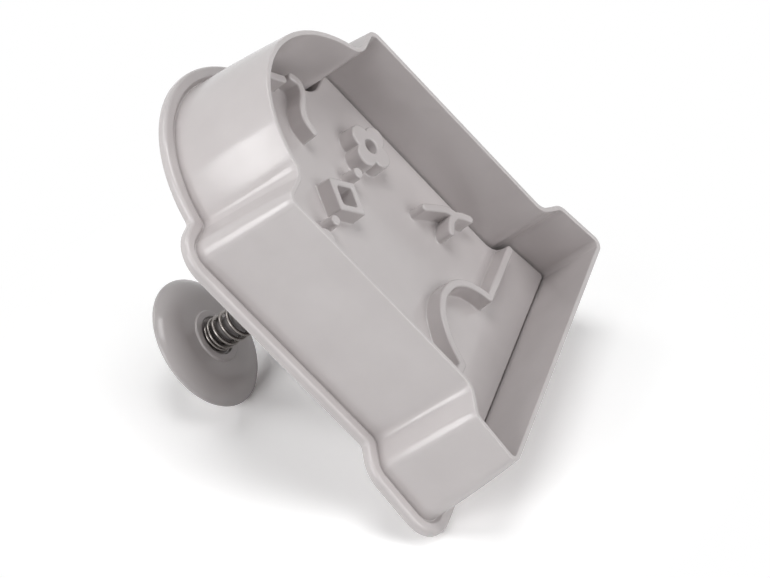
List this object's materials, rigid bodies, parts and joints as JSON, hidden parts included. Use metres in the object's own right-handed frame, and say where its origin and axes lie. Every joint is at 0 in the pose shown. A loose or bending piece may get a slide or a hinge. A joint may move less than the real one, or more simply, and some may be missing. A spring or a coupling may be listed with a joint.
{
  "type": "plunger cutter",
  "caption": "Spring-loaded plunger cutter with an arched outline on a stepped base, an embossing stamp inside the wall and a dished thumb knob.",
  "frame": {"origin": "middle of the outline, in the plane of the cutting edge", "axes": "+Z from the cutting edge to the thumb knob, +Y from the base of the outline to its arch, +X across the outline"},
  "size_m": [0.0698, 0.0794, 0.0531],
  "materials": {
    "shell_plastic": "satin moulded plastic, warm light grey",
    "stamp_plastic": "satin moulded plastic, warm light grey",
    "plunger_plastic": "satin moulded plastic, warm light grey",
    "spring_steel": "bright drawn wire"
  },
  "bodies": {
    "shell": {"cutter_shell": "shell_plastic", "return_spring": "spring_steel"},
    "plunger": {"stamp_plate": "stamp_plastic", "plunger_stem": "plunger_plastic", "thumb_knob": "plunger_plastic"}
  },
  "joints": [
    {"name": "plunger_slide", "type": "slide", "parent": "shell", "child": "plunger", "axis": [0, 0, -1], "range_m": [0, 0.013], "stiffness_N_per_m": 800, "springref_m": -0.003, "deforming": ["return_spring"]}
  ]
}
